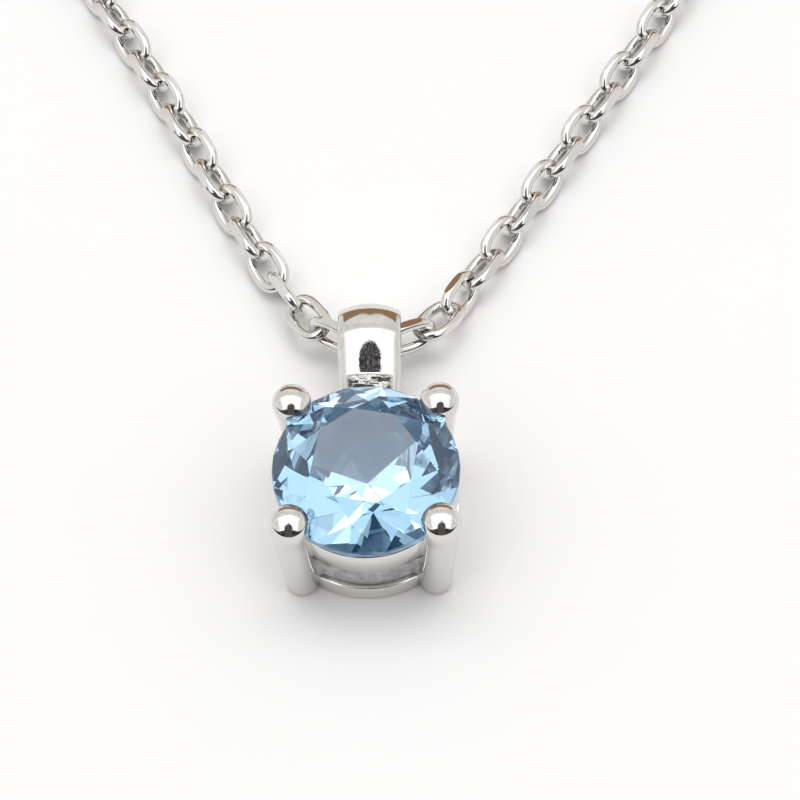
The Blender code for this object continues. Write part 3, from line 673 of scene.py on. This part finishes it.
def make_links(finish):
    shape = link_mesh("link", 12, 18)
    nodes = ["centre_link"]
    for side in ("left", "right"):
        nodes += [f"link_{side}_{k:02d}" for k in range(1, LINKS_A_SIDE + 1)]
    for node in nodes:
        mesh = shape.copy()
        matrix = TO_FRAME.inverted() @ link_place(node)
        add_piece("cut_" + node, mesh, finish, node, [node], matrix)


# The wound rest of the chain


def eased(value, low, high):
    share = min(1, max(0, (value - low) / (high - low)))
    return share * share * (3 - 2 * share)


def coil_points(side):
    """The wound turns: out on the surface, up over it, in, and down inside the first turn."""
    turn = -1 if side == "left" else 1
    centre = COIL_CENTRE[side]
    points = []
    total = int(360 * COIL_TURNS)
    for degrees in range(0, total + 1, 4):
        radius = OUTER_TURN + (INNER_TURN - OUTER_TURN) * eased(degrees, 610, 660)
        lift = eased(degrees, 300, 360) - eased(degrees, 905, 965)
        angle = math.radians(COIL_ENTRY[side] + turn * degrees)
        flat = centre + radius * Vector((math.cos(angle), math.sin(angle)))
        points.append(Vector((flat.x, flat.y, LOW_LAYER + (HIGH_LAYER - LOW_LAYER) * lift)))
    return points


def tail_points(side):
    """The last stretch: a bend from the inner turn towards the coil's middle."""
    turn = -1 if side == "left" else 1
    leave = math.radians(COIL_ENTRY[side] + turn * 360 * COIL_TURNS)
    hub_reach = INNER_TURN - TAIL_BEND_RADIUS
    hub = COIL_CENTRE[side] + hub_reach * Vector((math.cos(leave), math.sin(leave)))
    sweep = math.pi - math.acos(TAIL_BEND_RADIUS / hub_reach)
    points = []
    for k in range(1, 41):
        angle = leave + turn * sweep * k / 40
        flat = hub + TAIL_BEND_RADIUS * Vector((math.cos(angle), math.sin(angle)))
        points.append(Vector((flat.x, flat.y, LOW_LAYER)))
    return points


def rest_path(side, route):
    """The unseen chain's line, from the last separate link to its end ring or clasp."""
    curve = spline(route)
    start = (LINKS_A_SIDE + 0.5) * LINK_PITCH
    run = [along(curve, start)[0]]
    travelled = 0
    for a, b in zip(curve, curve[1:]):
        travelled += (b - a).length
        if travelled > start + 0.1 * MM:
            run.append(b)
    points = run + coil_points(side)[1:] + tail_points(side)
    return points


def length_of(points):
    return sum((b - a).length for a, b in zip(points, points[1:]))


def link_matrix(place, heading, inner, roll):
    """A link centred on place, long in heading, its width turned by roll from inner towards up."""
    level = (inner - heading * inner.dot(heading)).normalized()
    upright = level.cross(heading).normalized()
    if upright.z < 0:
        upright = -upright
    angle = math.radians(roll)
    width = math.cos(angle) * level + math.sin(angle) * upright
    return Matrix.Translation(place) @ Matrix((heading, width, heading.cross(width))).transposed().to_4x4()


def make_rest(side, route, finish):
    path = rest_path(side, route)
    length = length_of(path)
    count = round(length / LINK_PITCH)
    pitch = length / count
    inward = 1 if side == "left" else -1
    small = link_mesh("small_link", 5, 10)
    chain = bmesh.new()
    for k in range(count):
        before, _ = along(path, k * pitch)
        after, _ = along(path, (k + 1) * pitch)
        heading = (after - before).normalized()
        inner = inward * heading.cross(UP)
        number = LINKS_A_SIDE + 1 + k
        roll = SETTLED_ROLLS[(number + (side == "left")) % 2]
        mesh = small.copy()
        mesh.transform(link_matrix((before + after) / 2, heading, inner, roll))
        chain.from_mesh(mesh)
    mesh = finished(f"chain_rest_{side}", chain, 22)
    nodes = [f"chain_run_{side}", f"chain_coil_{side}", f"chain_tail_{side}"]
    piece = add_piece(f"wound_chain_{side}", mesh, finish, f"chain_rest_{side}", nodes)
    return piece


# Clasp and rings


def clasp_places():
    """Where the jump ring, the eye and the clasp lie, as matrices in the pendant's frame."""
    tail_end = tail_points("left")[-1]
    to_middle = (COIL_CENTRE["left"] - tail_end.xy).normalized()
    heading = Vector((to_middle.x, to_middle.y, 0))

    def at(distance, height):
        return Vector((tail_end.x, tail_end.y, 0)) + heading * distance + Vector((0, 0, height))

    height = EYE_RADIUS + 0.02 * MM
    ring_middle = 0.05 * MM + JUMP_RING_RADIUS
    eye_middle = ring_middle + JUMP_RING_RADIUS - JUMP_RING_WIRE / 2 + 0.11 * MM
    turn = heading.to_track_quat("X", "Z").to_matrix().to_4x4()
    middle = at(eye_middle + EYE_RADIUS + FIT_GAP + CLASP_RADIUS, CLASP_HEIGHT)
    return (
        Matrix.Translation(at(ring_middle, height)),
        Matrix.Translation(at(eye_middle, height)) @ turn @ Matrix.Rotation(math.pi / 2, 4, "X"),
        Matrix.Translation(middle) @ turn @ Matrix.Rotation(math.pi, 4, "Z"),
    )


def clasp_body_mesh():
    bend = CLASP_RADIUS - CLASP_TUBE / 2
    body = curved_rod("clasp_body", bend, CLASP_TUBE / 2, CLASP_GATE[1], CLASP_GATE[0] + 360, 110, 32, 1.6)
    bore = curved_rod("bore", bend, CLASP_BORE / 2, CLASP_BORE_END, CLASP_GATE[0] + 4, 48, 24)
    socket = curved_rod("socket", bend, CLASP_BORE / 2, CLASP_GATE[1] - 6, CLASP_GATE[1] + 9, 8, 24)
    slot = curved_rod("slot", CLASP_RADIUS, 0.17 * MM, *CLASP_SLOT, 30, 4)
    for vertex in slot.vertices:
        reach = vertex.co.xy.length
        wanted = CLASP_RADIUS + 0.3 * MM if reach > CLASP_RADIUS else bend + 0.1 * MM
        vertex.co.xy *= wanted / reach
    return combined(body, [bore, socket, slot], sharp_angle=35)


def clasp_bolt_mesh():
    bend = CLASP_RADIUS - CLASP_TUBE / 2
    rod = curved_rod("clasp_bolt", bend, CLASP_BOLT / 2, 68, CLASP_GATE[1] + 4, 48, 24, 1.2)
    angle = math.radians(CLASP_TAB)
    out = Vector((math.cos(angle), math.sin(angle), 0))
    stations = []
    for reach, half in (
        (0.15, 0.13), (0.62, 0.13), (0.68, 0.155), (0.74, 0.175), (0.9, 0.195), (1.05, 0.2),
        (1.15, 0.185), (1.21, 0.16), (1.25, 0.11),
    ):
        centre = out * (bend + reach * MM)
        stations.append(round_section(half * MM, 20, centre, out.cross(UP), UP))
    tab = swept("tab", stations, closed=False)
    return combined(rod, [tab], "UNION", 35)


def clasp_spring_mesh():
    bend = CLASP_RADIUS - CLASP_TUBE / 2
    coil_radius = CLASP_BORE / 2 - SPRING_WIRE / 2 - 0.04 * MM
    per_coil = 28
    steps = SPRING_COILS * per_coil
    centres = []
    for k in range(steps + 1):
        angle = math.radians(CLASP_SPRING[0] + (CLASP_SPRING[1] - CLASP_SPRING[0]) * k / steps)
        phase = math.tau * k / per_coil
        out = Vector((math.cos(angle), math.sin(angle), 0))
        centres.append(out * (bend + coil_radius * math.cos(phase)) + UP * (coil_radius * math.sin(phase)))
    stations = []
    for k, centre in enumerate(centres):
        heading = (centres[min(k + 1, steps)] - centres[max(k - 1, 0)]).normalized()
        hub_angle = math.atan2(centre.y, centre.x)
        out = (centre - bend * Vector((math.cos(hub_angle), math.sin(hub_angle), 0))).normalized()
        out = (out - heading * out.dot(heading)).normalized()
        stations.append(round_section(SPRING_WIRE / 2, 10, centre, out, heading.cross(out)))
    return swept("clasp_spring", stations, closed=False)


def make_clasp(finish, steel):
    ring, eye, clasp = clasp_places()
    return [
        add_piece("round_jump_ring", wire_ring("jump_ring", JUMP_RING_RADIUS, JUMP_RING_WIRE), finish,
                  "jump_ring", ["jump_ring"], ring),
        add_piece("round_clasp_eye", wire_ring("clasp_eye", EYE_RADIUS, EYE_WIRE), finish,
                  "clasp", ["clasp_eye"], eye),
        add_piece("polished_clasp_body", clasp_body_mesh(), finish,
                  "clasp", ["clasp_body"], clasp),
        add_piece("coiled_clasp_spring", clasp_spring_mesh(), steel,
                  "clasp", ["clasp_spring"], clasp),
        add_piece("polished_clasp_bolt", clasp_bolt_mesh(), finish,
                  "clasp_bolt", ["clasp_bolt"], clasp),
    ]


def make_end_ring(finish):
    tail_end = tail_points("right")[-1]
    to_middle = (COIL_CENTRE["right"] - tail_end.xy).normalized()
    heading = Vector((to_middle.x, to_middle.y, 0))
    middle = tail_end + heading * (0.05 * MM + END_RING_RADIUS)
    mesh = wire_ring("end_ring", END_RING_RADIUS, END_RING_WIRE, 80, 24)
    matrix = Matrix.Translation(middle)
    return add_piece("round_end_ring", mesh, finish, "end_ring", ["end_ring"], matrix)


# Floor and light


def make_floor():
    reach = FLOOR_HALF_SIDE
    corners = [(-reach, -reach, 0), (reach, -reach, 0), (reach, reach, 0), (-reach, reach, 0)]
    mesh = bpy.data.meshes.new("floor")
    mesh.from_pydata(corners, [], [(0, 1, 2, 3)])
    floor = bpy.data.objects.new("floor", mesh)
    bpy.context.scene.collection.objects.link(floor)
    made = bpy.data.materials.new("white_card")
    tree = Tree(made)
    shader = tree.nodes["Principled BSDF"]
    place = tree.add("ShaderNodeTexCoord").outputs["Object"]
    tone = tree.mix(tree.noise(place, 60.0), (0.93, 0.93, 0.93, 1), (0.95, 0.95, 0.95, 1))
    tree.set(shader, "Base Color", tone)
    tree.set(shader, "Roughness", 0.9)
    tree.set(shader, "Specular IOR Level", 0.1)
    mesh.materials.append(made)


def make_world():
    """A photographer's tent, by the angle of a direction from the front over the top and its angle aside.

    It has a bright roof with a lamp behind it, paler sides, a dark gap low in front with a dark hood over
    its middle, and a brown strip low at the back.
    """
    world = bpy.data.worlds.new("tent")
    bpy.context.scene.world = world
    tree = Tree(world)
    background = tree.nodes["Background"]
    direction = tree.add("ShaderNodeTexCoord").outputs["Generated"]
    parts = tree.add("ShaderNodeSeparateXYZ", {"Vector": direction})
    x, y, z = parts.outputs
    front = tree.math("MULTIPLY", y, -1.0)
    over = tree.math("DEGREES", tree.math("ARCTAN2", z, front))
    aside = tree.math("DEGREES", tree.math("ABSOLUTE", tree.math("ARCSINE", x)))
    grain = tree.noise(direction, 26.0, 5.0, 0.7)
    folds = tree.noise(direction, 2.6, 2.0)
    patchy = tree.span(folds, 0.35, 0.65)
    gloom = tree.mix(patchy, (0.03, 0.024, 0.022, 1), (0.085, 0.07, 0.065, 1))
    clutter = tree.mix(tree.span(grain, 0.5, 0.62), (0.05, 0.045, 0.05, 1), (0.3, 0.29, 0.3, 1))
    brown = (0.33, 0.2, 0.11, 1)
    roof = (1.35, 1.35, 1.35, 1)
    lamp = (3.6, 3.6, 3.6, 1)
    cloth = tree.mix(patchy, (0.72, 0.705, 0.685, 1), (0.9, 0.885, 0.865, 1))
    inside = tree.math("MULTIPLY", tree.span(over, 128, 117), tree.span(aside, 48, 36))
    colour = tree.mix(inside, cloth, roof)
    lit = tree.math("MULTIPLY", tree.span(over, 96, 101), tree.span(over, 119.6, 119.1))
    colour = tree.mix(tree.math("MULTIPLY", lit, tree.span(aside, 22, 15)), colour, lamp)
    limit = tree.span(aside, 18, 65, 52.0, 25.0)
    gap = tree.span(tree.math("SUBTRACT", over, limit), 2, -2)
    colour = tree.mix(gap, colour, gloom)
    across = tree.math("POWER", tree.math("DIVIDE", aside, 18.0), 2.0)
    above = tree.math("MAXIMUM", tree.math("SUBTRACT", over, 58.0), 0.0)
    above = tree.math("POWER", tree.math("DIVIDE", above, 30.0), 2.0)
    ragged = tree.math("MULTIPLY", tree.math("SUBTRACT", grain, 0.5), 1.6)
    hood = tree.span(tree.math("ADD", tree.math("ADD", across, above), ragged), 1.15, 0.85)
    colour = tree.mix(hood, colour, clutter)
    low_edge = tree.math("SUBTRACT", over, tree.math("MULTIPLY", aside, 0.18))
    strip = tree.math("MULTIPLY", tree.span(low_edge, 153.2, 154.6), tree.span(aside, 34, 31))
    colour = tree.mix(strip, colour, brown)
    tree.set(background, "Color", colour)
    tree.set(background, "Strength", 1.1)


make_camera()
polished = silver("polished_silver", SILVER, 0.03, 0.08)
chain_silver = silver("chain_silver", SILVER, 0.02, 0.07, 0.08)
spring_steel = silver("spring_steel", (0.7, 0.7, 0.71), 0.12, 0.2)
clasp_pieces = make_clasp(polished, spring_steel)
end_ring = make_end_ring(polished)
make_rest("left", LEFT_ROUTE, chain_silver)
make_rest("right", RIGHT_ROUTE, chain_silver)
make_links(chain_silver)
make_prongs(polished)
make_gallery(polished, cast_silver())
make_bail(bail_silver())
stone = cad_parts["stone"]
stone.data.materials.clear()
stone.data.materials.append(stone_glass())
make_floor()
make_world()
bpy.context.scene.view_settings.view_transform = "Standard"
